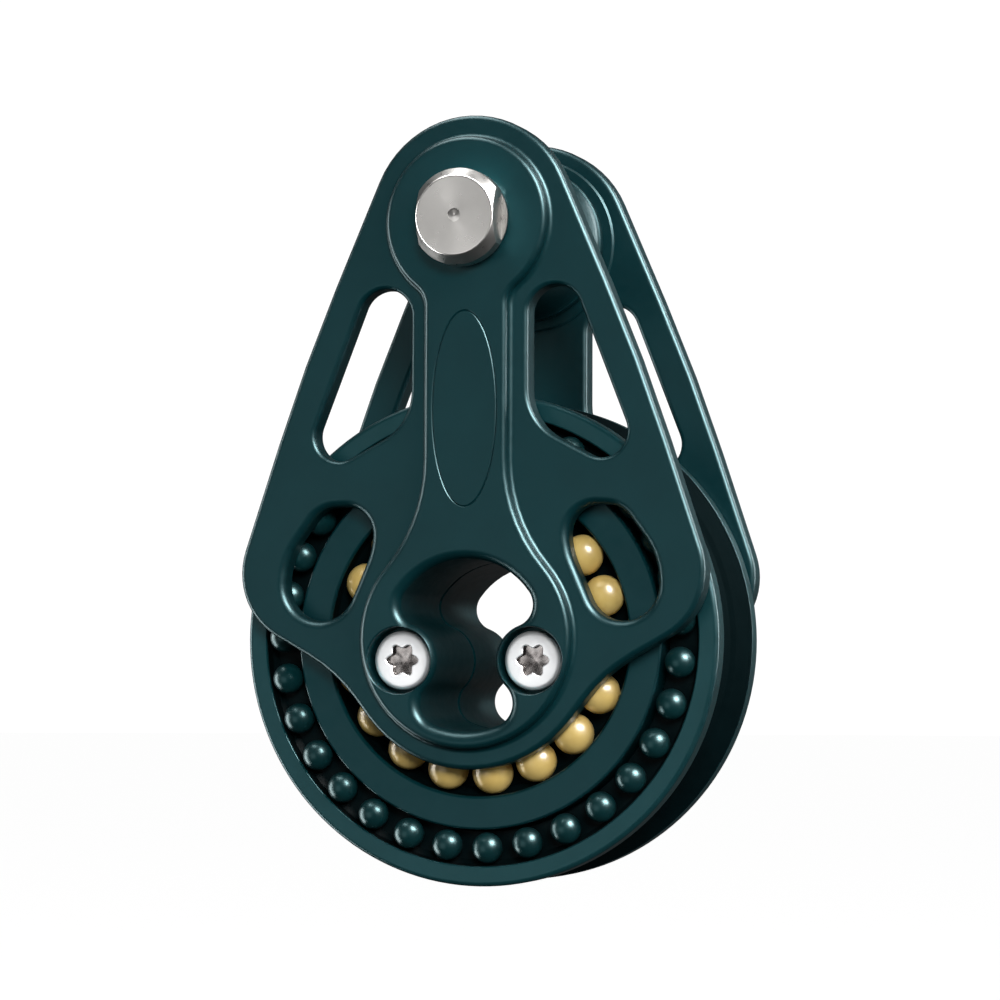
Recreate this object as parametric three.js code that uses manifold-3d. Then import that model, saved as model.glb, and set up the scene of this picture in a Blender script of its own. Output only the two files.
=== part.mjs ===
// Single sheave block: two alloy cheeks with half a hub each, a rope sheave on two rows of balls,
// a ring of side-load balls each side, and a head bolt with a bush for the strop.
// Millimetres. The pieces are drawn face-on: x to the right, y up, z towards the front cheek's side,
// about the sheave's centre or their own axis. The block's group then turns them so that +Z is up and
// -Y is the front, and puts the origin at the head bolt's centre.
import * as THREE from "three";
import { mergeVertices } from "three/addons/utils/BufferGeometryUtils.js";
import Module from "manifold-3d";

// Driving dimensions
const HEAD = 63.7; // head bolt above the sheave's centre
const GAP = 0.3; // left where two pieces bear on each other

const SHEAVE_R = 37.8; // over the rims
const RIM_FACE = 12.9; // side of the rim from the mid-plane
const RIM_EASE = 0.7; // its outer edge
const RIM_BORE = 34.7; // inside of the rim
const LIP = 9.3; // inner edge of the rope groove
const GROOVE = { r: 8.7, at: 36.9, half: 86 }; // section radius, radius to its centre, half arc in degrees
const SHEAVE_BORE = 18.9;
const SEAT_R = 29.4; // counterbore for the race rings
const SEAT_AT = 7.8; // its floor, and the sides of the web
const CHANNEL_AT = 9.75; // floor of the channel for the side-load balls
const CHANNEL_CORNER = { across: 1.2, deep: 0.9 };

const RING_R = 29.1; // race ring, outside
const RING_BORE = 24.0;
const RING_LIP = 22.9; // inside, under the balls
const RING_FACE = 13.3;
const RING_EASE = { outer: 0.4, bore: 0.6 };
const RING_SEAT = 0.7; // how far the straight bore runs behind the balls' plane
const RING_STEP = { in: 0.4, back: 2 }; // where the race starts to close in under the balls

const BALL_R = 3.175; // main balls
const BALL_CLEAR = 0.22; // round them in the hub's groove
const BALL_AT = 20.6; // their pitch radius
const BALL_PLANE = 11.3;
const BALLS = 18; // in a row
const BALL_PHASE = 15.3; // degrees
const BALL_DRIFT = { most: 3.4, at: 20, width: 45 }; // degrees: the loose balls bunch up a little here

const SIDE_BALL_R = 2.38; // side-load balls
const SIDE_BALL_AT = 31.9;
const SIDE_BALL_PLANE = 12.25;
const SIDE_BALLS = 31;
const SIDE_BALL_PHASE = 5.3;
const HOOP_R = 0.45; // section radius of the hoop that joins them

const CHEEK_OUT = 18.4; // outer face of the plate
const CHEEK_IN = 14.0; // inner face
const PLATE_EASE = 0.9; // its edges
const HOLE_EASE = { window: 0.6, slot: 1.0 }; // edges of the holes beside the spine
const RELIEF = { r: 34.6, floor: 14.95 }; // the inner face is cut back this far over the balls
const SPINE_TOP = 20.5; // raised spine
const SPINE_FOOT = { across: 0.85, high: 0.7, run: 0.1 }; // where its side meets the plate
const SPINE_EASE = 0.5; // its upper edge
const SPINE_RING = 12.8; // round end of the spine at the head
const SPINE_NECK = 6.55; // half its width between
const SPINE_HUB = 16.7; // round end at the hub
const HUB_R = 18.3; // half hub, outside
const HUB_CORE = 2; // the hub is made this hollow before its opening is cut
const BOSS_R = 14.0; // low ring on the inner face, round the head bolt
const BOSS_IN = 13.5;
const OPENING_EASE = [1.6, 0.45]; // across the mouth of the hub's opening, and half-way down
const CLEAN = 0.05; // how far a cut passes the face it starts from
const SINK = 0.5; // how far a part of a cheek reaches into its neighbour before they are joined

const SCREW = { x: 10.4, y: -3.3, head: 4.6, recess: 5.1, shank: 2.5, top: 18.7, seat: 16.4, end: -11 };
const SCREW_EASE = 0.7; // head's edge
const POINT = 0.5; // chamfer at the end of a screw
const THREAD_FIT = 0.05; // round a thread in its hole
const THREAD_RELIEF = 1; // past its end
const SOCKET = { r: 2.1, lobe: 0.35, deep: 1.6 };
const BOLT = { r: 7.4, face_r: 5.9, flats: 12.2, shank: 4, point: 0.8, face: 25.9, end: -28.2 };
const BOLT_FLANGE = { r: 7.05, thick: 0.5, step: 0.6 };
const BOLT_EASE = { deep: 1.9, rim: 0.2 }; // face's chamfer
const NUT = { flats: 13, face: -27.3, chamfer: 2.3, over: 3.7 };
const BUSH = { end: 12.4, waist: 10.9, bore: 4.05, land: 1.5, ease: 0.4 };

const wasm = await Module();
wasm.setup();
const rad = THREE.MathUtils.degToRad;

// Solids

function solid(geometry) {
  const bare = geometry.clone();
  for (const extra of ["normal", "uv"]) bare.deleteAttribute(extra);
  const merged = mergeVertices(bare, 1e-4);
  return new wasm.Manifold(
    new wasm.Mesh({
      numProp: 3,
      vertProperties: merged.attributes.position.array,
      triVerts: new Uint32Array(merged.index.array),
    }),
  );
}

function geometryOf(body) {
  const mesh = body.getMesh();
  const geometry = new THREE.BufferGeometry();
  geometry.setAttribute("position", new THREE.BufferAttribute(mesh.vertProperties, 3));
  geometry.setIndex(new THREE.BufferAttribute(mesh.triVerts, 1));
  geometry.computeVertexNormals();
  return geometry;
}

// A body of revolution about z from [radius, z] points that run anticlockwise round the section
// with the radius to the right and z up.
function turned(points, segments, onAxis = false) {
  const ring = points.map(([r, z]) => new THREE.Vector2(r, z));
  if (!onAxis) ring.push(ring[0].clone());
  return solid(new THREE.LatheGeometry(ring, segments).rotateX(Math.PI / 2));
}

// A plain cylinder from z = low to z = high, centred on x, y. Six segments make a hexagonal prism.
function rod(radius, low, high, x = 0, y = 0, segments = 32) {
  const geometry = new THREE.CylinderGeometry(radius, radius, high - low, segments);
  return solid(geometry.rotateX(Math.PI / 2).translate(x, y, (high + low) / 2));
}

// A closed anticlockwise outline carried through [offset, z] levels, from the lowest z to the highest.
// A positive offset grows it.
function loft(outline, levels) {
  const n = outline.length;
  const flat = outline.map((p) => new THREE.Vector2(...p));
  const normals = flat.map((_, i) => {
    const before = flat[(i + n - 1) % n];
    const after = flat[(i + 1) % n];
    return new THREE.Vector2(after.y - before.y, before.x - after.x).normalize();
  });
  const positions = [];
  for (const [offset, z] of levels)
    flat.forEach((p, i) => positions.push(p.x + offset * normals[i].x, p.y + offset * normals[i].y, z));
  const index = [];
  for (let level = 0; level < levels.length - 1; level++)
    for (let i = 0; i < n; i++) {
      const a = level * n + i;
      const b = level * n + ((i + 1) % n);
      index.push(a, b, b + n, a, b + n, a + n);
    }
  const cap = THREE.ShapeUtils.triangulateShape(flat, []);
  const last = (levels.length - 1) * n;
  for (const [a, b, c] of cap) index.push(a, c, b, last + a, last + b, last + c);
  const geometry = new THREE.BufferGeometry();
  geometry.setAttribute("position", new THREE.Float32BufferAttribute(positions, 3));
  geometry.setIndex(index);
  return solid(geometry);
}

// Outlines

// Points along an arc, angles in degrees, about one point every `step` degrees.
function arc(x, y, r, from, to, step) {
  const count = Math.max(1, Math.round(Math.abs(to - from) / step));
  return Array.from({ length: count + 1 }, (_, i) => {
    const angle = rad(from + ((to - from) * i) / count);
    return [x + r * Math.cos(angle), y + r * Math.sin(angle)];
  });
}

// A polygon of [x, y, radius] corners with each corner rounded, a point every `step` degrees.
function rounded(corners, step) {
  const path = [];
  corners.forEach(([x, y, r], i) => {
    const corner = new THREE.Vector2(x, y);
    const [toBefore, toAfter] = [corners.at(i - 1), corners[(i + 1) % corners.length]].map(([u, v]) =>
      new THREE.Vector2(u - x, v - y).normalize(),
    );
    const half = Math.acos(THREE.MathUtils.clamp(toBefore.dot(toAfter), -1, 1)) / 2;
    const centre = toBefore.clone().add(toAfter).normalize().multiplyScalar(r / Math.sin(half)).add(corner);
    const first = toBefore.multiplyScalar(r / Math.tan(half)).add(corner).sub(centre).angle();
    const last = toAfter.multiplyScalar(r / Math.tan(half)).add(corner).sub(centre).angle();
    let sweep = last - first;
    if (sweep > Math.PI) sweep -= 2 * Math.PI;
    if (sweep < -Math.PI) sweep += 2 * Math.PI;
    const start = THREE.MathUtils.radToDeg(first);
    path.push(...arc(centre.x, centre.y, r, start, start + THREE.MathUtils.radToDeg(sweep), step));
  });
  return path;
}

const mirrored = (path) => path.map(([x, y, ...rest]) => [-x, y, ...rest]).reverse();

const CHEEK_HALF = [
  [21.4, -5.2, 25],
  [39.4, 4.9, 11.2],
  [26.95, 42.2, 300],
];
const CHEEK_LOW = [0, -33, 20.5];
const CHEEK_TOP = [0, 104.5, 16.1];
const cheekOutline = rounded([CHEEK_LOW, ...CHEEK_HALF, CHEEK_TOP, ...mirrored(CHEEK_HALF)], 13);

const windowCorners = [
  [9.33, 71.9, 4.25],
  [9.33, 32.9, 8.4],
  [28.6, 22.7, 4.0],
];

const slotCorners = [
  [15.5, 20.6, 4.4],
  [15.7, 13.6, 10.8],
  [20.4, 2.7, 5.5],
  [29.8, 2.7, 5.6],
  [29.8, 12.2, 11.4],
  [24.0, 20.1, 4.6],
];

function spineOutline() {
  const collar = 4; // inside radius between neck and ring
  const flare = 25; // inside radius between neck and hub
  const collarY = HEAD - Math.sqrt((SPINE_RING + collar) ** 2 - (SPINE_NECK + collar) ** 2);
  const flareY = Math.sqrt((SPINE_HUB + flare) ** 2 - (SPINE_NECK + flare) ** 2);
  const flareAngle = THREE.MathUtils.radToDeg(Math.atan2(flareY, SPINE_NECK + flare));
  const collarAngle = THREE.MathUtils.radToDeg(Math.atan2(collarY - HEAD, SPINE_NECK + collar));
  const right = [
    ...arc(0, 0, SPINE_HUB, -90, flareAngle, 12),
    ...arc(SPINE_NECK + flare, flareY, flare, 180 + flareAngle, 180, 10).slice(1),
    ...arc(SPINE_NECK + collar, collarY, collar, 180, 180 + collarAngle, 20),
    ...arc(0, HEAD, SPINE_RING, collarAngle, 90, 13).slice(1),
  ];
  return [...right, ...mirrored(right).slice(1, -1)];
}

// The hub's opening is wide above the two screw bosses, narrow between them, and middling below.
function hubOpening() {
  const boss = 5.7;
  const topCorner = { x: 7.1, y: 5.3, r: 3.3 };
  const lowCorner = { x: 3.9, y: -10.2, r: 3.5 };
  const touch = (corner, toward) => {
    const angle = Math.atan2(SCREW.y - corner.y, SCREW.x - corner.x);
    return THREE.MathUtils.radToDeg(toward ? angle : angle + Math.PI);
  };
  const topIn = touch(topCorner, true);
  const lowIn = touch(lowCorner, true);
  const right = [
    ...arc(0, 0, 14.0, -90, -69, 10),
    ...arc(lowCorner.x, lowCorner.y, lowCorner.r, -62, lowIn, 20),
    ...arc(SCREW.x, SCREW.y, boss, lowIn + 180, topIn + 180, 14).slice(1, -1),
    ...arc(topCorner.x, topCorner.y, topCorner.r, topIn, 37, 20),
    ...arc(0, 0, 12.15, 45, 90, 10),
  ];
  return [...right, ...mirrored(right).slice(1, -1)];
}

// Cheeks

// The left and right holes of a kind, through the plate, with their edges eased.
function throughHoles(corners, ease) {
  const levels = [
    [ease + CLEAN, CHEEK_IN - CLEAN],
    [0, CHEEK_IN + ease],
    [0, CHEEK_OUT - ease],
    [ease + CLEAN, CHEEK_OUT + CLEAN],
  ];
  return [corners, mirrored(corners)].map((path) => loft(rounded(path, 30), levels));
}

// Half of the hub, with the groove that the main balls run in.
function halfHub() {
  const clear = BALL_R + BALL_CLEAR;
  const bite = Math.sqrt(clear ** 2 - (BALL_AT - HUB_R) ** 2);
  const edge = THREE.MathUtils.radToDeg(Math.atan2(bite, BALL_AT - HUB_R));
  const groove = arc(BALL_AT, BALL_PLANE, clear, 180 + edge, 180 - edge, 24);
  const root = RELIEF.floor + SINK;
  return turned([[HUB_CORE, GAP / 2], [HUB_R, GAP / 2], ...groove, [HUB_R, root], [HUB_CORE, root]], 36);
}

// One cheek, drawn as the front one. The front one takes the screws' heads, the rear one their threads.
function cheek(isFront) {
  const plate = loft(cheekOutline, [
    [-PLATE_EASE, CHEEK_IN],
    [0, CHEEK_IN + PLATE_EASE],
    [0, CHEEK_OUT - PLATE_EASE],
    [-PLATE_EASE, CHEEK_OUT],
  ]);
  const spine = loft(spineOutline(), [
    [SPINE_FOOT.across + SPINE_FOOT.run, CHEEK_OUT - SINK],
    [SPINE_FOOT.across + SPINE_FOOT.run, CHEEK_OUT],
    [SPINE_FOOT.run, CHEEK_OUT + SPINE_FOOT.high],
    [0, SPINE_TOP - SPINE_EASE],
    [-SPINE_EASE, SPINE_TOP],
  ]);
  const boss = rod(BOSS_R, BOSS_IN, CHEEK_IN + SINK, 0, HEAD, 40);
  const relief = turned(
    [
      [HUB_R, CHEEK_IN - CLEAN],
      [RELIEF.r, CHEEK_IN - CLEAN],
      [RELIEF.r, RELIEF.floor],
      [HUB_R, RELIEF.floor],
    ],
    48,
  );
  const windows = throughHoles(windowCorners, HOLE_EASE.window);
  const slots = throughHoles(slotCorners, HOLE_EASE.slot);
  const opening = loft(hubOpening(), [
    [OPENING_EASE[1], 0],
    [0, OPENING_EASE[1]],
    [0, SPINE_TOP - OPENING_EASE[0]],
    [OPENING_EASE[1], SPINE_TOP - OPENING_EASE[1]],
    [OPENING_EASE[0], SPINE_TOP + CLEAN],
  ]);
  const bolt = rod(BOLT.shank + GAP, BOSS_IN - CLEAN, SPINE_TOP + CLEAN, 0, HEAD);
  const screws = [-SCREW.x, SCREW.x].flatMap((x) =>
    isFront
      ? [
          rod(SCREW.shank + GAP, 0, CHEEK_OUT, x, SCREW.y),
          rod(SCREW.recess, SCREW.seat - GAP, SPINE_TOP + CLEAN, x, SCREW.y),
        ]
      : [rod(SCREW.shank + THREAD_FIT, 0, THREAD_RELIEF - SCREW.end, x, SCREW.y)],
  );
  const body = wasm.Manifold.union([plate, spine, halfHub(), boss]);
  return wasm.Manifold.difference([body, relief, ...windows, ...slots, opening, bolt, ...screws]);
}

// Sheave and bearings

function sheave() {
  const side = [
    [SHEAVE_R, LIP],
    [SHEAVE_R, RIM_FACE - RIM_EASE],
    [SHEAVE_R - 0.3 * RIM_EASE, RIM_FACE - 0.3 * RIM_EASE],
    [SHEAVE_R - RIM_EASE, RIM_FACE],
    [RIM_BORE, RIM_FACE],
    [RIM_BORE, CHANNEL_AT + CHANNEL_CORNER.deep],
    [RIM_BORE - CHANNEL_CORNER.across, CHANNEL_AT],
    [SEAT_R, CHANNEL_AT],
    [SEAT_R, SEAT_AT],
    [SHEAVE_BORE, SEAT_AT],
  ];
  const groove = arc(GROOVE.at, 0, GROOVE.r, 180 + GROOVE.half, 180 - GROOVE.half, 22);
  const otherSide = side.map(([r, z]) => [r, -z]).reverse();
  return turned([...otherSide, ...groove, ...side], 48);
}

function raceRing() {
  return turned(
    [
      [RING_LIP, SEAT_AT + GAP],
      [RING_R, SEAT_AT + GAP],
      [RING_R, RING_FACE - RING_EASE.outer],
      [RING_R - RING_EASE.outer, RING_FACE],
      [RING_BORE + RING_EASE.bore, RING_FACE],
      [RING_BORE, RING_FACE - RING_EASE.bore],
      [RING_BORE, BALL_PLANE - RING_SEAT],
      [RING_BORE - RING_STEP.in, BALL_PLANE - RING_STEP.back],
    ],
    36,
  );
}

function ball() {
  return solid(new THREE.SphereGeometry(BALL_R, 7, 5).rotateX(Math.PI / 2));
}

// The side-load balls of one side, held on a thin hoop so that they are one body.
function sideBalls() {
  const hoop = new THREE.TorusGeometry(SIDE_BALL_AT, HOOP_R, 3, SIDE_BALLS);
  const balls = Array.from({ length: SIDE_BALLS }, (_, i) => {
    const geometry = new THREE.SphereGeometry(SIDE_BALL_R, 6, 4).rotateX(Math.PI / 2);
    return solid(geometry.translate(SIDE_BALL_AT, 0, 0).rotateZ((2 * Math.PI * i) / SIDE_BALLS));
  });
  return wasm.Manifold.union([solid(hoop), ...balls]);
}

// Head fittings and screws, each about its own axis

// The bolt's head is round with a chamfered face and two spanner flats, left and right, down to a
// thin flange.
function headBolt() {
  const seat = SPINE_TOP + GAP;
  const flangeTop = seat + BOLT_FLANGE.thick;
  const head = turned(
    [
      [0, seat],
      [BOLT_FLANGE.r, seat],
      [BOLT_FLANGE.r, flangeTop],
      [BOLT.r, flangeTop + BOLT_FLANGE.step],
      [BOLT.r, BOLT.face - BOLT_EASE.deep],
      [BOLT.face_r + BOLT_EASE.rim, BOLT.face - BOLT_EASE.rim],
      [BOLT.face_r, BOLT.face],
      [0, BOLT.face],
    ],
    48,
    true,
  );
  const flats = [-1, 1].map((side) => {
    const cutter = new THREE.BoxGeometry(BOLT.r, 3 * BOLT.r, BOLT.face - seat);
    return solid(cutter.translate((side * (BOLT.flats + BOLT.r)) / 2, 0, flangeTop + (BOLT.face - seat) / 2));
  });
  const shank = turned(
    [
      [0, BOLT.end],
      [BOLT.shank - BOLT.point, BOLT.end],
      [BOLT.shank, BOLT.end + BOLT.point],
      [BOLT.shank, seat + SINK],
      [0, seat + SINK],
    ],
    32,
    true,
  );
  return wasm.Manifold.difference([head.add(shank), ...flats]);
}

// A hexagon with its corners chamfered on the rear face.
function headNut() {
  const seat = -SPINE_TOP - GAP;
  const blank = turned(
    [
      [0, NUT.face],
      [NUT.flats / 2 - POINT, NUT.face],
      [NUT.flats / 2 + NUT.over, NUT.face + NUT.chamfer],
      [NUT.flats / 2 + NUT.over, seat],
      [0, seat],
    ],
    48,
    true,
  );
  const hexagon = rod(NUT.flats / Math.sqrt(3), NUT.face, seat, 0, 0, 6);
  return blank.intersect(hexagon).subtract(rod(BOLT.shank + GAP, NUT.face - CLEAN, 0));
}

function headBush() {
  const end = BOSS_IN - GAP;
  const hollow = BUSH.end - BUSH.waist;
  const waist = arc(0, 0, 1, -90, 90, 30).map(([c, s]) => [BUSH.end - hollow * c, s * (end - BUSH.land)]);
  return turned(
    [
      [BUSH.bore, -end],
      [BUSH.end - BUSH.ease, -end],
      [BUSH.end, -end + BUSH.ease],
      ...waist,
      [BUSH.end, end - BUSH.ease],
      [BUSH.end - BUSH.ease, end],
      [BUSH.bore, end],
    ],
    28,
  );
}

// Low round head with a lobed socket.
function hubScrew() {
  const body = turned(
    [
      [0, SCREW.end],
      [SCREW.shank - POINT, SCREW.end],
      [SCREW.shank, SCREW.end + POINT],
      [SCREW.shank, SCREW.seat],
      [SCREW.head, SCREW.seat],
      [SCREW.head, SCREW.top - SCREW_EASE],
      [SCREW.head - SCREW_EASE, SCREW.top - 0.2 * SCREW_EASE],
      [0, SCREW.top],
    ],
    24,
    true,
  );
  const lobes = Array.from({ length: 24 }, (_, i) => {
    const r = SOCKET.r + SOCKET.lobe * Math.cos(rad(90 * i));
    return [r * Math.cos(rad(15 * i)), r * Math.sin(rad(15 * i))];
  });
  const socket = loft(lobes, [
    [0, SCREW.top - SOCKET.deep],
    [0, SCREW.top + CLEAN],
  ]);
  return body.subtract(socket);
}

// Assembly

const MATERIALS = {
  anodised: new THREE.MeshStandardMaterial({ color: 0x193a41, metalness: 0.6, roughness: 0.4 }),
  acetal: new THREE.MeshStandardMaterial({ color: 0x16333a, metalness: 0, roughness: 0.25 }),
  torlon: new THREE.MeshStandardMaterial({ color: 0xceb070, metalness: 0, roughness: 0.35 }),
  steel: new THREE.MeshStandardMaterial({ color: 0xb8b6b3, metalness: 1, roughness: 0.3 }),
};

// A named piece in a parent group, with a material of its own.
function piece(parent, name, geometry, material) {
  const mesh = new THREE.Mesh(geometry, MATERIALS[material].clone());
  mesh.name = name;
  parent.add(mesh);
  return mesh;
}

const ringGeometry = geometryOf(raceRing());
const ballGeometry = geometryOf(ball());
const sideBallsGeometry = geometryOf(sideBalls());
const screwGeometry = geometryOf(hubScrew());

// A cheek and the bearing beside it, drawn as the front ones.
function side(name, cheekGeometry) {
  const set = new THREE.Group();
  piece(set, `${name}_cheek`, cheekGeometry, "anodised");
  piece(set, `${name}_race_ring`, ringGeometry, "anodised");
  for (let i = 0; i < BALLS; i++) {
    const even = BALL_PHASE + (360 * i) / BALLS;
    const away = THREE.MathUtils.euclideanModulo(even - BALL_DRIFT.at + 180, 360) - 180;
    const angle = rad(even + BALL_DRIFT.most * Math.exp(-((away / BALL_DRIFT.width) ** 2)));
    const mesh = piece(set, `${name}_ball_${String(i + 1).padStart(2, "0")}`, ballGeometry, "torlon");
    mesh.position.set(BALL_AT * Math.cos(angle), BALL_AT * Math.sin(angle), BALL_PLANE);
  }
  const ringOfBalls = piece(set, `${name}_side_balls`, sideBallsGeometry, "acetal");
  ringOfBalls.position.z = SIDE_BALL_PLANE;
  ringOfBalls.rotation.z = rad(SIDE_BALL_PHASE);
  return set;
}

const block = new THREE.Group();
block.rotation.x = Math.PI / 2;
block.position.z = -HEAD;

const rear = side("rear", geometryOf(cheek(false)));
rear.rotation.y = Math.PI;
block.add(side("front", geometryOf(cheek(true))), rear);
piece(block, "sheave", geometryOf(sheave()), "anodised");
piece(block, "left_screw", screwGeometry, "steel").position.set(-SCREW.x, SCREW.y, 0);
piece(block, "right_screw", screwGeometry, "steel").position.set(SCREW.x, SCREW.y, 0);

const head = new THREE.Group();
head.position.y = HEAD;
piece(head, "head_bush", geometryOf(headBush()), "anodised");
piece(head, "head_bolt", geometryOf(headBolt()), "steel");
piece(head, "head_nut", geometryOf(headNut()), "steel");
block.add(head);

const group = new THREE.Group();
group.add(block);

export default group;
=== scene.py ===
import math

import bmesh
import bpy
import numpy as np
from mathutils import Matrix, Vector


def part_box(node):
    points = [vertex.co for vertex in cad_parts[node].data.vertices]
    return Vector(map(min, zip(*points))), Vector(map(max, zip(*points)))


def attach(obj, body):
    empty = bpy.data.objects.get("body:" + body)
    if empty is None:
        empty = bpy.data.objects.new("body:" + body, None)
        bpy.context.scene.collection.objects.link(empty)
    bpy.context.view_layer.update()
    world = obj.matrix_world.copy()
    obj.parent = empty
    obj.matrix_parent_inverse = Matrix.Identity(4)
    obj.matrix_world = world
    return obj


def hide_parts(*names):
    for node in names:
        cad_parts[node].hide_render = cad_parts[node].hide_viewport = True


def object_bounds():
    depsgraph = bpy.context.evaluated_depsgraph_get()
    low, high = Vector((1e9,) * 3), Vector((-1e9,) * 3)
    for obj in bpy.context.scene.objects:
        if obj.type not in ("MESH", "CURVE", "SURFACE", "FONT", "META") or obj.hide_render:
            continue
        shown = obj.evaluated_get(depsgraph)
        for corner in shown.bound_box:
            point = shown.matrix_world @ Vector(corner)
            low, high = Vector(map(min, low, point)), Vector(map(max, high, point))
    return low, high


# Single sheave block. Every piece is drawn face-on in millimetres about the sheave's centre, x to the
# right, y up and z towards the front cheek, and Shell.piece() puts it into the frame, in metres.

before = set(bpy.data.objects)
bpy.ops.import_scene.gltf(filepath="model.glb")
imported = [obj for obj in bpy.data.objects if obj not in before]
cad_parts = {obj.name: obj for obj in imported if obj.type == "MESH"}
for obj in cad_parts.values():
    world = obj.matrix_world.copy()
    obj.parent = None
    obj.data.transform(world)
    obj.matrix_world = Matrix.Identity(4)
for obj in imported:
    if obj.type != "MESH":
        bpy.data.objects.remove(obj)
cad_low, cad_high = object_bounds()

MM = 0.001
FIT = 0.02  # mm that the fine surfaces stay inside the faceted ones

# Sizes read from the frame, in millimetres


def extent(node, axis):
    """Lowest and highest value of a CAD node along an axis, in millimetres."""
    low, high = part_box(node)
    return low[axis] / MM, high[axis] / MM


X, Y, Z = 0, 1, 2
SHEAVE_LOW, SHEAVE_HIGH = extent("sheave", Z)
HEAD = -(SHEAVE_LOW + SHEAVE_HIGH) / 2  # head bolt above the sheave's centre
SHEAVE_R = (SHEAVE_HIGH - SHEAVE_LOW) / 2 - FIT
RIM_FACE = extent("sheave", Y)[1]
RING_R = extent("front_race_ring", X)[1]
RING_FACE = -extent("front_race_ring", Y)[0]
SPINE_TOP = -extent("front_cheek", Y)[0]
BOLT_FACE = -extent("head_bolt", Y)[0]
BOLT_END = -extent("head_bolt", Y)[1]
NUT_FACE = -extent("head_nut", Y)[1]
BUSH_END = extent("head_bush", Y)[1]
HALF_TURN = Matrix.Diagonal((-1, 1, -1, 1))  # from the front cheek's side to the rear one's
TO_FRAME = Matrix(((MM, 0, 0, 0), (0, 0, -MM, 0), (0, MM, 0, -HEAD * MM), (0, 0, 0, 1)))

# Cheek
PLATE_OUT = 18.4  # outer face of the plate
PLATE_IN = 14.0
PLATE_ROUND = 0.9  # its edges
WINDOW_ROUND = 0.8  # edges of the windows, and the inner edges of the slots
SLOT_ROUND = 1.3  # outer edges of the slots
RELIEF_R, RELIEF_AT = 34.6, 14.95  # the inner face is cut back over the balls
RELIEF_EASE = 0.3
SPINE_RING = 12.8  # round end of the spine at the head
SPINE_NECK = 6.55  # half its width between
SPINE_HUB = 16.7  # round end at the hub
SPINE_COVE = 0.8
SPINE_ROUND = 0.9
SPINE_COLLAR = 4.0  # inside radius between neck and ring
SPINE_FLARE = 25.0  # inside radius between neck and hub
HUB_R = 18.3
HUB_GAP = 0.15  # half the seam between the two hub halves
HUB_EASE = 0.4
BOSS_R = 14.0  # low ring on the inner face round the head bolt
BOSS_IN = 13.5
BOSS_EASE = 0.3
OPENING_ROUND = (1.6, 1.9)  # across and deep
OVAL = {"y": 34.9, "a": 5.1, "b": 14.9, "width": 0.34, "depth": 0.16}

# Sheave and bearings
RIM_BORE = 34.7  # inside of the rim
LIP = 9.3  # inner edge of the rope groove
GROOVE_R = 8.7  # section of the rope groove, and where its centre runs
GROOVE_AT = 36.9
SHEAVE_BORE = 18.9
SEAT_R = 29.4  # the race ring's place in the sheave
SEAT_AT = 7.8
CHANNEL_AT = 9.75  # floor of the side-load balls' channel
RING_BORE = 24.0
BALL_R = 3.175
BALL_AT = 20.6
BALL_PLANE = 11.3
BALLS = 18
BALL_PHASE = 15.3
BALL_CLEAR = 0.22  # between a ball and the groove in the hub
# The loose balls bunch up: by this much, at this place and over this far either way, in degrees
BALL_DRIFT = (3.4, 20, 45)
SIDE_BALL_R = 2.38
SIDE_BALL_AT = 31.9
SIDE_BALL_PLANE = 12.25
SIDE_BALLS = 31
SIDE_BALL_PHASE = 5.3
PARTING = 0.05  # radians: width of the line round a moulded ball
MAIN_LINE, SIDE_LINE = 0.012, 0.008  # and its height
MAIN_SEED, SIDE_SEED = 3, 5  # of the balls' turns
SHADE_SHEET = 0.06  # thickness of the black sheets of painted shade in the channels
SHADE_SHEET_GAP = 0.03  # between it and the metal

# Fittings: radii, and the levels of a screw's top, of the seat under its head and of its end
SCREW = {
    "x": 10.4, "y": -3.3, "head": 4.5, "recess": 5.1, "shank": 2.5, "top": 18.7, "seat": 16.4, "end": -11,
}
SOCKET = {"r": 2.2, "lobe": 0.36, "deep": 1.7}
BOLT = {"r": 7.4, "flange": 7.05, "thick": 0.5, "face": 5.8, "flat": 6.1}  # flat: from the axis
SHANK_R = 4.0
SHANK_CLEAR = 0.3  # round the bolt's and the screws' shanks
THREAD_CLEAR = 0.1
SEAT_GAP = 0.3  # under the heads, the nut and the race rings
PITCH, THREAD_DEEP, THREAD_ROWS = 1.25, 0.5, 2
NUT_FLATS = 13.0
NUT_FACE_R = 6.3
BUSH_R = 12.4
BUSH_WAIST = 10.9
BUSH_BORE = 4.05

ARC_STEP = 6  # degrees between points of an arc
ROUND_STEPS = 5  # strips across a rounded edge
FINE = 144  # segments of a large turned piece
SHARP = 0.01  # corner radius of a corner that stays sharp
PAST = 1  # how far a cutting tool reaches past the surface


# Outlines: arrays of x, y and the outward normal, anticlockwise

def arc(x, y, r, start, end, hollow=False):
    """Points along an arc, angles in degrees. On a hollow arc the normals point at its centre."""
    count = max(2, round(abs(end - start) / ARC_STEP))
    angles = np.radians(np.linspace(start, end, count + 1))
    out = np.stack([np.cos(angles), np.sin(angles)], 1)
    return np.hstack([np.array([x, y]) + r * out, -out if hollow else out])


def mirror(path):
    """The other half of an outline that is the same on both sides of x = 0."""
    return (path * np.array([-1, 1, -1, 1]))[::-1]


def closed(right):
    """A whole outline from its right half, which starts and ends on x = 0."""
    return np.vstack([right, mirror(right)[1:-1]])


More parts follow.
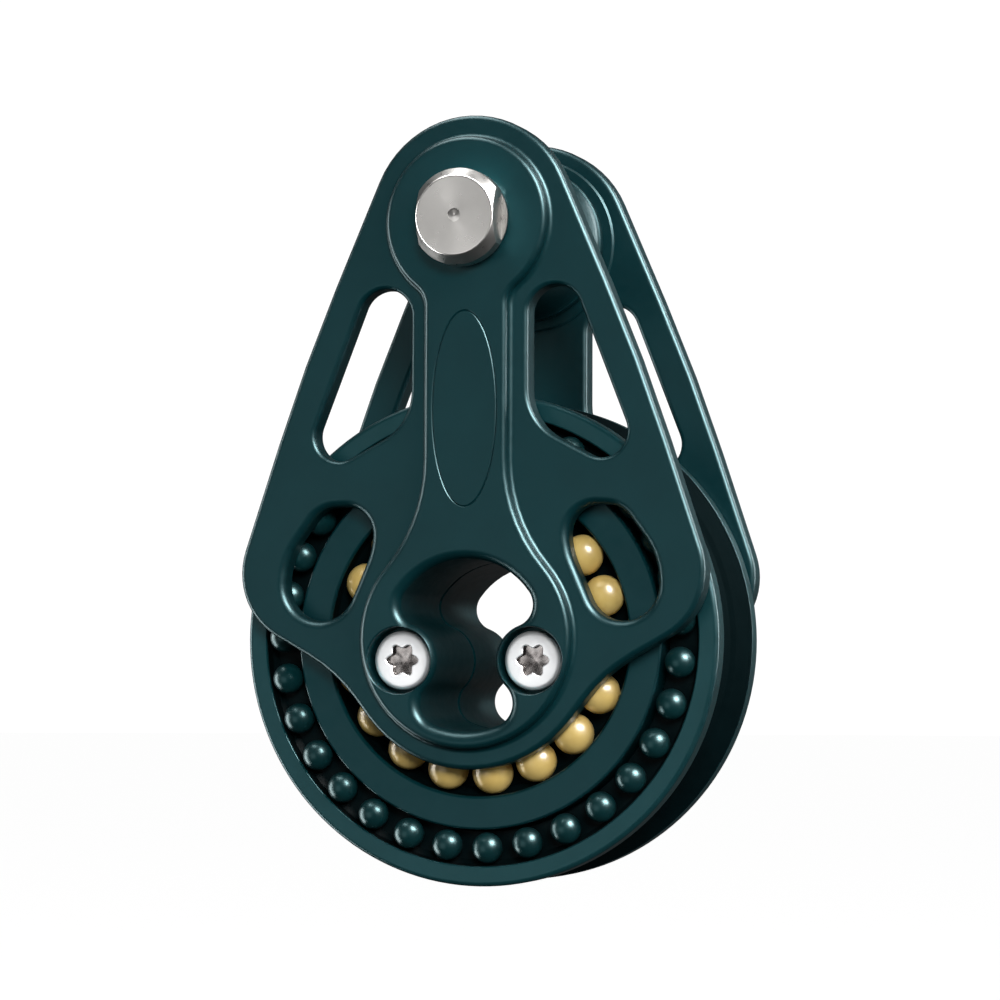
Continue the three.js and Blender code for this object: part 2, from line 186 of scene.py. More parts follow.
def rounded(corners):
    """A polygon of (x, y, radius) corners with every corner rounded."""
    path = []
    for i, (x, y, r) in enumerate(corners):
        corner = np.array([x, y])
        before = np.array(corners[i - 1][:2]) - corner
        after = np.array(corners[(i + 1) % len(corners)][:2]) - corner
        before, after = before / np.linalg.norm(before), after / np.linalg.norm(after)
        half = math.acos(np.clip(before @ after, -1, 1)) / 2
        middle = (before + after) / np.linalg.norm(before + after)
        centre = corner + middle * r / math.sin(half)
        ends = [corner + side * r / math.tan(half) - centre for side in (before, after)]
        first, last = (math.degrees(math.atan2(v, u)) for u, v in ends)
        sweep = (last - first + 180) % 360 - 180
        path.append(arc(*centre, r, first, first + sweep, hollow=sweep < 0))
    return np.vstack(path)


def both_sides(corners):
    """The outlines of a hole on the right and of its twin on the left."""
    return rounded(corners), rounded([(-x, y, r) for x, y, r in reversed(corners)])


CHEEK_HALF = [(21.4, -5.2, 25), (39.4, 4.9, 11.2), (26.95, 42.2, 300)]
CHEEK_OUTLINE = rounded(
    [(0, -33, 20.5), *CHEEK_HALF, (0, 104.5, 16.1), *[(-x, y, r) for x, y, r in reversed(CHEEK_HALF)]]
)
WINDOW = [(9.33, 71.9, 4.25), (9.33, 32.9, 8.4), (28.6, 22.7, 4.0)]
SLOT = [
    (15.5, 20.6, 4.4), (15.7, 13.6, 10.8), (20.4, 2.7, 5.5),
    (29.8, 2.7, 5.6), (29.8, 12.2, 11.4), (24.0, 20.1, 4.6),
]
HOLES = [
    *((hole, WINDOW_ROUND) for hole in both_sides(WINDOW)),
    *((hole, SLOT_ROUND) for hole in both_sides(SLOT)),
]


def inset(outline, by):
    """An outline moved in along its normals."""
    return outline - np.hstack([outline[:, 2:] * by, np.zeros_like(outline[:, 2:])])


def circle(r, x=0.0, y=0.0, count=96):
    angles = np.linspace(0, 2 * math.pi, count, endpoint=False)
    out = np.stack([np.cos(angles), np.sin(angles)], 1)
    return np.hstack([np.array([x, y]) + r * out, out])


def spine_outline():
    """A round end at the hub, a narrow neck and a ring round the head bolt."""
    collar_x, flare_x = SPINE_NECK + SPINE_COLLAR, SPINE_NECK + SPINE_FLARE
    collar_y = HEAD - math.sqrt((SPINE_RING + SPINE_COLLAR) ** 2 - collar_x**2)
    flare_y = math.sqrt((SPINE_HUB + SPINE_FLARE) ** 2 - flare_x**2)
    flare = math.degrees(math.atan2(flare_y, flare_x))
    collar = math.degrees(math.atan2(collar_y - HEAD, collar_x))
    return closed(np.vstack([
        arc(0, 0, SPINE_HUB, -90, flare),
        arc(flare_x, flare_y, SPINE_FLARE, 180 + flare, 180, hollow=True)[1:],
        arc(collar_x, collar_y, SPINE_COLLAR, 180, 180 + collar, hollow=True),
        arc(0, HEAD, SPINE_RING, collar, 90)[1:],
    ]))


def nested_corner(outside, r, boss, above):
    """Centre of a corner of radius r that touches the arc of radius outside from within and a screw boss."""
    d1, d2 = outside - r, boss + r
    d = math.hypot(SCREW["x"], SCREW["y"])
    along = (d1**2 - d2**2 + d**2) / (2 * d)
    across = math.sqrt(d1**2 - along**2) * (1 if above else -1)
    ux, uy = SCREW["x"] / d, SCREW["y"] / d
    return ux * along - uy * across, uy * along + ux * across


def hub_opening():
    """Wide above the two screw bosses, narrow between them and middling below."""
    boss, top, low = 5.7, 12.15, 14.0
    top_r, low_r = 3.3, 3.5
    top_x, top_y = nested_corner(top, top_r, boss, True)
    low_x, low_y = nested_corner(low, low_r, boss, False)
    to_low = math.degrees(math.atan2(low_y, low_x))
    to_top = math.degrees(math.atan2(top_y, top_x))
    low_in = math.degrees(math.atan2(SCREW["y"] - low_y, SCREW["x"] - low_x))
    top_in = math.degrees(math.atan2(SCREW["y"] - top_y, SCREW["x"] - top_x))
    return closed(np.vstack([
        arc(0, 0, low, -90, to_low),
        arc(low_x, low_y, low_r, to_low, low_in)[1:],
        arc(SCREW["x"], SCREW["y"], boss, low_in + 180, top_in + 180, hollow=True)[1:-1],
        arc(top_x, top_y, top_r, top_in, to_top),
        arc(0, 0, top, to_top, 90)[1:],
    ]))


def ellipse(a, b, y, count=120):
    """An ellipse a wide and b high either way, with its true normals."""
    angles = np.linspace(0, 2 * math.pi, count, endpoint=False)
    normals = np.stack([np.cos(angles) / a, np.sin(angles) / b], 1)
    normals /= np.linalg.norm(normals, axis=1)[:, None]
    return np.hstack([np.stack([a * np.cos(angles), y + b * np.sin(angles)], 1), normals])


# Edge profiles: (offset, z) points

def edge_round(across, deep, z, growing=False):
    """A rounded edge that comes up the wall and over to the flat at z. Growing is for the edge of a hole."""
    turns = np.linspace(0, math.pi / 2, ROUND_STEPS + 1)
    sign = 1 if growing else -1
    return [(sign * across * (1 - math.cos(t)), z - deep * (1 - math.sin(t))) for t in turns]


def cove(r, z):
    """An inside corner from the flat at z up to the wall."""
    turns = np.linspace(0, math.pi / 2, ROUND_STEPS + 1)
    return [(r * (1 - math.sin(t)), z + r * (1 - math.cos(t))) for t in turns]


def edge_under(across, z, growing=False):
    """The same at the lower end of a wall, from the flat at z up."""
    return [(offset, 2 * z - height) for offset, height in reversed(edge_round(across, across, z, growing))]


class Shell:
    """The surface of one piece while it is made."""

    def __init__(self):
        self.bm = bmesh.new()

    def ring(self, outline, offset, z):
        """An outline's points, moved out by offset, at a level."""
        return [self.bm.verts.new((x + offset * u, y + offset * v, z)) for x, y, u, v in outline]

    def join(self, low, high):
        """A strip of faces between two rings."""
        for i in range(len(low)):
            j = (i + 1) % len(low)
            self.bm.faces.new((low[i], low[j], high[j], high[i]))

    def skin(self, outline, profile, first=None):
        """Carries an outline through (offset, z) levels. Returns the first and the last ring."""
        rings = [first] if first else []
        rings += [self.ring(outline, offset, z) for offset, z in profile]
        for low, high in zip(rings, rings[1:]):
            self.join(low, high)
        return rings[0], rings[-1]

    def turn(self, profile, segments=FINE, x=0.0, y=0.0, whole=False):
        """Turns (radius, z) points about a line along z. A whole profile comes back to its start."""
        base = circle(0, x, y, segments)
        rings = [self.ring(base, r, z) for r, z in profile]
        for low, high in zip(rings, rings[1:] + rings[:1] if whole else rings[1:]):
            self.join(low, high)
        return rings[0], rings[-1]

    def fill(self, *loops):
        """A flat face with holes: the first loop is its edge."""
        edges = []
        for loop in loops:
            for a, b in zip(loop, loop[1:] + loop[:1]):
                edges.append(self.bm.edges.get((a, b)) or self.bm.edges.new((a, b)))
        bmesh.ops.triangle_fill(self.bm, use_beauty=True, use_dissolve=False, edges=edges)

    def mesh(self, name, flipped=False, placing=None):
        """The finished mesh in the frame, in metres. Flipped is for the rear side's twin of a piece."""
        matrix = TO_FRAME @ (HALF_TURN if flipped else Matrix.Identity(4))
        bmesh.ops.transform(self.bm, matrix=placing or matrix, verts=self.bm.verts)
        bmesh.ops.recalc_face_normals(self.bm, faces=self.bm.faces)
        mesh = bpy.data.meshes.new(name)
        self.bm.to_mesh(mesh)
        self.bm.free()
        return mesh

    def piece(self, name, flipped=False):
        return add(name, self.mesh(name, flipped))


def add(name, mesh):
    piece = bpy.data.objects.new(name, mesh)
    bpy.context.scene.collection.objects.link(piece)
    return piece


def smooth(piece, angle=35):
    """Smooth shading with sharp edges kept and flat faces flat."""
    piece.data.shade_smooth()
    piece.data.set_sharp_from_angle(angle=math.radians(angle))
    flats = piece.modifiers.new("flat_faces", "WEIGHTED_NORMAL")
    flats.keep_sharp = True
    return piece


def carve(piece, *tools):
    """Cuts the tools out of a piece and removes them."""
    for tool in tools:
        cut = piece.modifiers.new("cut", "BOOLEAN")
        cut.operation, cut.solver, cut.object = "DIFFERENCE", "MANIFOLD", tool
    made = bpy.data.meshes.new_from_object(piece.evaluated_get(bpy.context.evaluated_depsgraph_get()))
    piece.modifiers.clear()
    piece.data = made
    for tool in tools:
        bpy.data.objects.remove(tool)
    return piece


def finish_piece(piece, body, slot, material, *nodes):
    """Material and body of a piece, and the CAD nodes that it stands for. The slot is not used."""
    piece.data.materials.clear()
    piece.data.materials.append(material)
    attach(piece, body)
    if nodes:
        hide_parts(*nodes)
    return piece


def in_groove_shade(x, y, z):
    """Faces in the sheave's rope groove, not in its bore, that get painted shade."""
    bore = SHEAVE_BORE + 1
    return abs(z) < LIP and math.hypot(x, y) > bore


def in_race_shade(x, y, z):
    """On the inner side of a race ring, behind its rounded edge, where shade is painted."""
    edge, slack = 0.8, 0.1
    return abs(z) < RING_FACE - edge and math.hypot(x, y) < RING_BORE + slack


def in_socket_shade(x, y, z):
    """Below the mouth of a screw's socket, where shade is painted."""
    mouth, edge = 2.8, 0.2
    from_axis = math.hypot(abs(x) - SCREW["x"], y - SCREW["y"])
    return SCREW["seat"] < z < SCREW["top"] - edge and from_axis < mouth


def paint_shade_inside(piece, material, inside):
    """Gives a piece's faces for which inside(x, y, z) holds a second material, a darker one that paints
    shade. The centre of the face is in millimetres about the sheave's centre."""
    piece.data.materials.append(material)
    for face in piece.data.polygons:
        x, y, z = TO_FRAME.inverted() @ face.center
        if inside(x, y, z):
            face.material_index = 1


# Cheeks

def cheek(name, is_front):
    """A plate with its holes, the raised spine and half of the hub, as one closed shell."""
    shell = Shell()
    top_holes, low_holes = [], []
    for hole, r in HOLES:
        wall = edge_under(WINDOW_ROUND, PLATE_IN, True) + edge_round(r, r, PLATE_OUT, True)
        low, top = shell.skin(hole, wall)
        low_holes.append(low)
        top_holes.append(top)
    plate = edge_under(PLATE_ROUND, PLATE_IN) + edge_round(PLATE_ROUND, PLATE_ROUND, PLATE_OUT)
    plate_low, plate_top = shell.skin(inset(CHEEK_OUTLINE, FIT), plate)
    spine = cove(SPINE_COVE, PLATE_OUT) + edge_round(SPINE_ROUND, SPINE_ROUND, SPINE_TOP)
    spine_low, spine_top = shell.skin(spine_outline(), spine)
    shell.fill(plate_top, spine_low, *top_holes)

    across, deep = OPENING_ROUND
    wall = edge_under(HUB_EASE, HUB_GAP, True) + edge_round(across, deep, SPINE_TOP, True)
    opening_low, opening_top = shell.skin(hub_opening(), wall)
    bolt_hole, chamfer = circle(SHANK_R + SHANK_CLEAR, 0, HEAD, 64), 0.2
    wall = [(0, BOSS_IN), (0, SPINE_TOP - chamfer), (chamfer, SPINE_TOP)]
    bolt_low, bolt_top = shell.skin(bolt_hole, wall)
    half = OVAL["width"] / 2
    line = [(half, SPINE_TOP), (0, SPINE_TOP - OVAL["depth"]), (-half, SPINE_TOP)]
    oval_out, oval_in = shell.skin(ellipse(OVAL["a"], OVAL["b"], OVAL["y"]), line)
    shell.fill(spine_top, opening_top, bolt_top, oval_out)
    shell.fill(oval_in)

    boss = circle(BOSS_R, 0, HEAD)
    wall = [(-BOSS_EASE, BOSS_IN), (0, BOSS_IN + BOSS_EASE), (0, PLATE_IN)]
    boss_low, boss_top = shell.skin(boss, wall)
    shell.fill(boss_low, bolt_low)
    clear = BALL_R + BALL_CLEAR  # section radius of the ball groove
    bite = math.sqrt(clear**2 - (BALL_AT - HUB_R) ** 2)
    edge = math.degrees(math.atan2(bite, HUB_R - BALL_AT))
    groove = [(x, z) for x, z, *_ in arc(BALL_AT, BALL_PLANE, clear, 360 - edge, edge)]
    hub = edge_under(HUB_EASE, HUB_GAP) + [(x - HUB_R, z) for x, z in groove]
    hub_low, hub_top = shell.skin(circle(HUB_R, count=FINE), [*hub, (0, PLATE_IN)])
    shell.fill(plate_low, boss_top, hub_top, *low_holes)
    shell.fill(hub_low, opening_low)
    piece = shell.piece(name, flipped=not is_front)
    tools = [screw_hole(side * SCREW["x"], is_front) for side in (-1, 1)]
    return smooth(carve(piece, inner_relief(is_front), *tools))


def inner_relief(is_front):
    """The ring cut out of the inner face so that it clears both kinds of ball."""
    inner, low = HUB_R - 0.2, PLATE_IN - 0.1  # just past the hub's wall and the plate's face
    shell = Shell()
    shell.turn([
        (inner, low), (RELIEF_R, low), (RELIEF_R, RELIEF_AT - RELIEF_EASE),
        (RELIEF_R - RELIEF_EASE, RELIEF_AT), (inner, RELIEF_AT),
    ], whole=True)
    return shell.piece("inner_relief", flipped=not is_front)


def screw_hole(x, is_front):
    """The clearance hole and head recess of the front cheek, or the thread of the rear one."""
    ease, r = 0.3, SCREW["recess"]
    if is_front:
        shank, seat = SCREW["shank"] + SHANK_CLEAR, SCREW["seat"] - SEAT_GAP
        profile = [(shank, -PAST), (shank, seat), (r, seat)]
        profile += [(r + offset, z) for offset, z in edge_round(ease, ease, SPINE_TOP, True)]
        profile += [(r + ease, SPINE_TOP + PAST)]
    else:
        thread, end = SCREW["shank"] + THREAD_CLEAR, -SCREW["end"]
        drill_r, full, tip = 0.2, 0.6, 2.0  # the drill's point, and where it begins and ends past the screw
        profile = [(thread, -PAST), (thread, end + full), (drill_r, end + tip)]
    shell = Shell()
    low, high = shell.turn(profile, 72, x, SCREW["y"])
    shell.fill(low)
    shell.fill(high)
    return shell.piece("screw_hole", flipped=not is_front)


# Sheave and bearings

def section(corners):
    """(radius, z) points of a closed section with rounded corners."""
    return [(r, z) for r, z, *_ in rounded(corners)]


def rope_sheave():
    """Rim with a round groove, a channel for the side-load balls in each side, and the web between."""
    slant, mouth = 0.35, 0.92 * LIP  # of the ring's seat, and half the groove's width where its arc ends
    side = [
        (SHEAVE_R, LIP, 0.15), (SHEAVE_R, RIM_FACE, 0.8), (RIM_BORE, RIM_FACE, 0.25),
        (RIM_BORE, CHANNEL_AT, 0.8), (SEAT_R + slant, CHANNEL_AT, 0.5), (SEAT_R, SEAT_AT, 0.2),
        (SHEAVE_BORE, SEAT_AT, 0.3),
    ]
    other = [(r, -z, e) for r, z, e in reversed(side)]
    half = math.degrees(math.asin(mouth / GROOVE_R))
    groove = [(r, z, SHARP) for r, z, *_ in arc(GROOVE_AT, 0, GROOVE_R, 180 + half, 180 - half)]
    shell = Shell()
    shell.turn(section([*other, *groove, *side]), FINE, whole=True)
    return smooth(shell.piece("rope_sheave"))


def race_ring(name, flipped):
    """The ring round the main balls. Its foot reaches in under them."""
    shell = Shell()
    low, foot, foot_top, bore_end = SEAT_AT + SEAT_GAP, 22.9, 9.2, 10.9
    corners = [
        (foot, low, 0.2), (RING_R, low, 0.3), (RING_R, RING_FACE, 0.45), (RING_BORE, RING_FACE, 0.5),
        (RING_BORE, bore_end, 1.5), (foot, foot_top, 0.3),
    ]
    shell.turn(section(corners), FINE, whole=True)
    return smooth(shell.piece(name, flipped))


def channel_shade_sheet(name, flipped):
    """A thin black sheet of painted shade that lines the side-load balls' channel, and a disc of it under the
    main balls.
    """
    shell = Shell()
    floor_at, wall_at = CHANNEL_AT + SHADE_SHEET_GAP, RIM_BORE - SHADE_SHEET_GAP
    start, bend, rise, edge = SEAT_R + 0.1, wall_at - 0.9, floor_at + 0.8, RIM_FACE - 0.35
    shell.turn([
        (start, floor_at), (bend, floor_at), (wall_at, rise), (wall_at, edge),
        (wall_at - SHADE_SHEET, edge), (wall_at - SHADE_SHEET, rise), (bend, floor_at + SHADE_SHEET), (start, floor_at + SHADE_SHEET),
    ], whole=True)
    low = SEAT_AT + SHADE_SHEET_GAP
    high = low + SHADE_SHEET
    inner, outer = SHEAVE_BORE + 0.1, RING_BORE - 1.2
    shell.turn([(inner, low), (outer, low), (outer, high), (inner, high)], whole=True)
    return smooth(shell.piece(name, flipped))


def ball_shell(shell, r, centre, tilt, seam):
    """A moulded ball: two hemispheres with a faint parting line between them."""
    rows, columns = 22, 40
    start = len(shell.bm.verts)
    poles = [shell.bm.verts.new((0, 0, side * r)) for side in (-1, 1)]
    rings = []
    for row in range(1, rows):
        polar = math.pi * row / rows - math.pi / 2
        swell = seam * math.exp(-((polar / PARTING) ** 2))
        rings.append(shell.ring(circle(0, count=columns), (r + swell) * math.cos(polar), r * math.sin(polar)))
    for low, high in zip(rings, rings[1:]):
        shell.join(low, high)
    for pole, ring in zip(poles, (rings[0], rings[-1])):
        for a, b in zip(ring, ring[1:] + ring[:1]):
            shell.bm.faces.new((pole, a, b))
    shell.bm.verts.ensure_lookup_table()
    made = [shell.bm.verts[i] for i in range(start, len(shell.bm.verts))]
    bmesh.ops.transform(shell.bm, matrix=Matrix.Translation(centre) @ tilt.to_matrix().to_4x4(), verts=made)


def on_circle(radius, z, degrees):
    """The point of a circle about the sheave's axis at an angle."""
    angle = math.radians(degrees)
    return Vector((radius * math.cos(angle), radius * math.sin(angle), z))


def tilts(count, seed):
    """A different turn for each ball, the same on each run."""
    numbers = np.random.default_rng(seed)
    return [Vector(numbers.normal(size=3)).to_track_quat("Z", "Y") for _ in range(count)]


def ball_angle(i):
    """Where a main ball stands in its row, in degrees."""
    even = BALL_PHASE + 360 * i / BALLS
    most, at, width = BALL_DRIFT
    away = (even - at + 180) % 360 - 180
    return even + most * math.exp(-((away / width) ** 2))


def main_balls(side, flipped, seed, material):
    """One side's main balls, each a piece of its own."""
    for i, tilt in enumerate(tilts(BALLS, seed)):
        shell = Shell()
        centre = on_circle(BALL_AT, BALL_PLANE, ball_angle(i))
        ball_shell(shell, BALL_R - FIT, centre, tilt, MAIN_LINE)
        number = f"{i + 1:02d}"
        ball = shell.piece(f"{side}_main_ball_{number}", flipped)
        ball.data.shade_smooth()
        finish_piece(ball, f"{side}_row", "main_ball", material, f"{side}_ball_{number}")


def side_balls(side, flipped, seed, material):
    """One side's side-load balls, in one piece."""
    shell = Shell()
    for i, tilt in enumerate(tilts(SIDE_BALLS, seed)):
        centre = on_circle(SIDE_BALL_AT, SIDE_BALL_PLANE, SIDE_BALL_PHASE + 360 * i / SIDE_BALLS)
        ball_shell(shell, SIDE_BALL_R - FIT, centre, tilt, SIDE_LINE)
    balls = shell.piece(f"{side}_side_load_balls", flipped)
    balls.data.shade_smooth()
    finish_piece(balls, f"{side}_side_row", "side_ball", material, f"{side}_side_balls")


# Head fittings and screws

def hex_rim(count):
    """Radii round a hexagon with its corners up and down."""
    angles = np.linspace(0, 2 * math.pi, count, endpoint=False)
    turn = (angles + math.pi / 6) % (math.pi / 3) - math.pi / 6
    return NUT_FLATS / 2 / np.cos(turn)


def head_ring(shell, radii, levels):
    """A ring about the head bolt's axis, with its own radius and level at each point."""
    around = circle(0, 0, HEAD, len(radii))
    return [
        shell.bm.verts.new((x + r * u, y + r * v, level))
        for (x, y, u, v), r, level in zip(around, radii, levels)
    ]


def beyond(x, low_at):
    """A block that takes away what lies further out than x and in front of a level, beside the head bolt."""
    shell = Shell()
    far, half = 2 * x, 9
    corners = [(x, -half, 0, 0), (far, -half, 0, 0), (far, half, 0, 0), (x, half, 0, 0)]
    outline = np.array(corners[::1 if x > 0 else -1]) + np.array([0, HEAD, 0, 0])
    low, high = shell.skin(outline, [(0, low_at), (0, BOLT_FACE + PAST)])
    shell.fill(low)
    shell.fill(high)
    return shell.piece("beyond")


def head_bolt_piece():
    """A round head with a chamfered, turned face and two spanner flats, and a threaded end."""
    shell = Shell()
    seat, face = SPINE_TOP + SEAT_GAP, BOLT_FACE - 0.08
    flange_top = seat + BOLT["thick"]
    step, chamfer, lip = 0.6, 1.75, 0.25  # up to the full head, down its chamfer, round the turned face
    head = section([
        (SHANK_R, seat, SHARP), (BOLT["flange"], seat, 0.12), (BOLT["flange"], flange_top, 0.1),
        (BOLT["r"], flange_top + step, 0.4), (BOLT["r"], face - chamfer, 0.4),
        (BOLT["face"] + lip, face, 0.45), (1, face, SHARP),
    ])[:-3]
    disc = [(BOLT["face"] - 0.2, face - 0.02), (BOLT["face"] - 0.27, face - 0.08), (2.0, face - 0.1)]
    pip = [(0.28, face - 0.1), (0.16, face - 0.04), (0.06, face)]
    shank = [(SHANK_R - 0.8, BOLT_END), (SHANK_R - 0.1, BOLT_END + 0.7)]
    for row in range(THREAD_ROWS):
        z = BOLT_END + 0.8 + row * PITCH
        shank += [(SHANK_R, z), (SHANK_R - THREAD_DEEP, z + PITCH / 2), (SHANK_R, z + PITCH - 0.05)]
    end, centre = shell.turn([*shank, *head, *disc, *pip], FINE, 0, HEAD)
    shell.fill(end)
    shell.fill(centre)
    flats = [beyond(side * BOLT["flat"], flange_top) for side in (-1, 1)]
    return smooth(carve(shell.piece("head_bolt_with_flats"), *flats), 32)


def hex_nut():
    """A hexagon with its corners chamfered on the rear face."""
    shell = Shell()
    seat, face = -SPINE_TOP - SEAT_GAP, NUT_FACE + FIT
    bore, sink = SHANK_R + 0.25, 0.7  # the bore, and the countersink at its end
    slope = math.tan(math.radians(30))
    rims = hex_rim(FINE)
    around = circle(0, 0, HEAD, FINE)
    base = shell.ring(around, bore, seat)
    foot = head_ring(shell, rims, np.full(FINE, seat))
    drop = np.maximum(0, rims - NUT_FACE_R) * slope
    shoulder = head_ring(shell, rims, face + drop + FIT)
    edge = shell.ring(around, NUT_FACE_R, face)
    for low, high in zip((base, foot, shoulder), (foot, shoulder, edge)):
        shell.join(low, high)
    _, low = shell.skin(around, [(bore + sink, face), (bore, face + sink)], first=edge)
    shell.join(low, base)
    return smooth(shell.piece("hex_lock_nut"), 28)


def bush_spool():
    """A bush with a flat land at each end and a hollow waist."""
    shell = Shell()
    land = 1.7
    waist = [
        (BUSH_R - (BUSH_R - BUSH_WAIST) * math.cos(t), math.sin(t) * (BUSH_END - land), SHARP)
        for t in np.linspace(-math.pi / 2, math.pi / 2, 25)
    ]
    corners = [
        (BUSH_BORE, -BUSH_END, 0.3), (BUSH_R, -BUSH_END, 0.35), *waist, (BUSH_R, BUSH_END, 0.35),
        (BUSH_BORE, BUSH_END, 0.3),
    ]
    shell.turn(section(corners), FINE, 0, HEAD, whole=True)
    return smooth(shell.piece("bush_spool"))


def lobes(r, depth, x, y, count=96):
    """A six-lobed outline with its true normals."""
    angles = np.linspace(0, 2 * math.pi, count, endpoint=False)
    radii = r + depth * np.cos(6 * angles)
    slope = -6 * depth * np.sin(6 * angles)
    out = np.stack([np.cos(angles), np.sin(angles)], 1)
    along = np.stack([-np.sin(angles), np.cos(angles)], 1)
    normals = out * radii[:, None] - along * slope[:, None]
    normals /= np.linalg.norm(normals, axis=1)[:, None]
    return np.hstack([np.array([x, y]) + out * radii[:, None], normals])


def hub_screw(name, x):
    """A low round head with a six-lobed socket, and a plain shank."""
    shell = Shell()
    y, head, seat, end = SCREW["y"], SCREW["head"], SCREW["seat"], SCREW["end"]
    face = SCREW["top"] - FIT
    point, ease, mouth_r = 0.5, 0.1, 3.0  # chamfer of the end, edge of the head, flat round the socket
    low = [(SCREW["shank"] - point, end), (SCREW["shank"], end + point), (SCREW["shank"], seat)]
    under = [(head - ease, seat), (head, seat + ease)]
    dome = [(head + offset, z) for offset, z in edge_round(0.8, 0.55, SCREW["top"] - ease)]
    tip, rim = shell.turn([*low, *under, *dome, (mouth_r, face)], 96, x, y)
    shell.fill(tip)
    wall = [(0.15, face), (0, face - 0.15), (0, SCREW["top"] - SOCKET["deep"])]
    mouth, floor_ring = shell.skin(lobes(SOCKET["r"], SOCKET["lobe"], x, y), wall)
    shell.fill(rim, mouth)
    cone = [(0, SCREW["top"] - 1.9), (-0.7, SCREW["top"] - 2.1)]
    _, pit = shell.skin(circle(0.9, x, y, 96), cone, first=floor_ring)
    shell.fill(pit)
    return smooth(shell.piece(name))


# Materials

def noise(nodes, links, coords, scale, detail):
    node = nodes.new("ShaderNodeTexNoise")
    node.inputs["Scale"].default_value = scale
    node.inputs["Detail"].default_value = detail
    links.new(coords, node.inputs["Vector"])
    return node.outputs["Fac"]


def spread(nodes, links, value, low, high):
    """Carries a 0.3 to 0.7 noise value to the range low to high."""
    node = nodes.new("ShaderNodeMapRange")
    node.inputs["From Min"].default_value = 0.3
    node.inputs["From Max"].default_value = 0.7
    node.inputs["To Min"].default_value = low
    node.inputs["To Max"].default_value = high
    links.new(value, node.inputs["Value"])
    return node.outputs["Result"]


def finish_of(name, dark, light, rough, grain, patch=120, **sockets):
    """A procedural finish: two close tones in soft patches, uneven roughness and a fine grain.
    rough is the lowest and highest roughness; grain is (noise scale per metre, height in mm).
    patch is the patches' noise scale per metre; the roughness varies six times as fast."""
    material = bpy.data.materials.new(name)
    material.use_nodes = True
    nodes, links = material.node_tree.nodes, material.node_tree.links
    shader = nodes["Principled BSDF"]
    coords = nodes.new("ShaderNodeTexCoord").outputs["Object"]
    tones = nodes.new("ShaderNodeMix")
    tones.data_type = "RGBA"
    tones.inputs["A"].default_value = (*dark, 1)
    tones.inputs["B"].default_value = (*light, 1)
    blotches = noise(nodes, links, coords, patch, 4.0)
    links.new(spread(nodes, links, blotches, 0, 1), tones.inputs["Factor"])
    links.new(tones.outputs["Result"], shader.inputs["Base Color"])
    smears = noise(nodes, links, coords, patch * 6, 3.0)
    links.new(spread(nodes, links, smears, *rough), shader.inputs["Roughness"])
    bump = nodes.new("ShaderNodeBump")
    bump.inputs["Strength"].default_value = 1.0
    bump.inputs["Distance"].default_value = grain[1] * MM
    links.new(noise(nodes, links, coords, grain[0], 3.0), bump.inputs["Height"])
    links.new(bump.outputs["Normal"], shader.inputs["Normal"])
    for socket, value in sockets.items():
        shader.inputs[socket.replace("_", " ")].default_value = value
    return material


def spin_grain(material):
    """Turns the grain of a material round the bolt's axis, as a lathe leaves it."""
    nodes, links = material.node_tree.nodes, material.node_tree.links
    around = nodes.new("ShaderNodeTangent")
    around.direction_type, around.axis = "RADIAL", "Y"
    links.new(around.outputs["Tangent"], nodes["Principled BSDF"].inputs["Tangent"])


def srgb(r, g, b):
    """Linear values of an 8-bit colour."""
    return tuple((c / 255 / 12.92 if c <= 10 else ((c / 255 + 0.055) / 1.055) ** 2.4) for c in (r, g, b))


anodised = finish_of(
    "anodised_alloy", srgb(2, 46, 51), srgb(5, 51, 56), (0.33, 0.39), (5200, 0.002),
    Specular_IOR_Level=0.25, Specular_Tint=(0.52, 0.86, 0.9, 1),
)
turned_alloy = finish_of(
    "turned_alloy", srgb(15, 58, 62), srgb(20, 65, 70), (0.3, 0.38), (4200, 0.003),
    Specular_IOR_Level=0.3, Specular_Tint=(0.5, 0.85, 0.9, 1),
)
# Painted shade: near-black, dull alloy for the rope groove, which the flanges shade.
groove_shade_alloy = finish_of(
    "groove_shade_alloy", srgb(1, 14, 17), srgb(2, 19, 22), (0.5, 0.58), (4200, 0.003),
    Specular_IOR_Level=0.03, Specular_Tint=(0.5, 0.85, 0.9, 1),
)
tan_plastic = finish_of(
    "tan_plastic", srgb(240, 204, 116), srgb(250, 217, 134), (0.3, 0.36), (3000, 0.003), patch=300,
    Specular_IOR_Level=0.5,
)
acetal = finish_of(
    "black_acetal", srgb(7, 47, 50), srgb(11, 54, 57), (0.3, 0.36), (3000, 0.002), patch=300,
    Specular_IOR_Level=0.34, Specular_Tint=(0.55, 0.9, 0.92, 1),
)
# Painted shade: black for the sheets in the ball channels and for the race rings' bores, where shade falls
# round the balls.
shade_black = finish_of(
    "shade_black", srgb(5, 16, 18), srgb(8, 21, 23), (0.5, 0.6), (3000, 0.003), patch=300,
    Specular_IOR_Level=0.05,
)
steel = finish_of(
    "stainless_steel", srgb(170, 168, 166), srgb(184, 182, 180), (0.26, 0.34), (4000, 0.003),
    Metallic=1.0,
)
bright_steel = finish_of(
    "bright_steel", srgb(238, 240, 241), srgb(248, 249, 250), (0.36, 0.44), (4000, 0.002),
    Metallic=0.7,
)
# Painted shade: darker steel inside the screws' sockets, where the recess is shaded.
socket_shade_steel = finish_of(
    "socket_shade_steel", srgb(128, 122, 120), srgb(176, 172, 170), (0.2, 0.3), (3000, 0.004), patch=900,
    Metallic=1.0,
)
turned_steel = finish_of(
    "turned_steel", srgb(168, 166, 163), srgb(180, 178, 175), (0.27, 0.33), (4000, 0.002),
    Metallic=1.0, Anisotropic=0.5,
)
spin_grain(turned_steel)

# Assembly

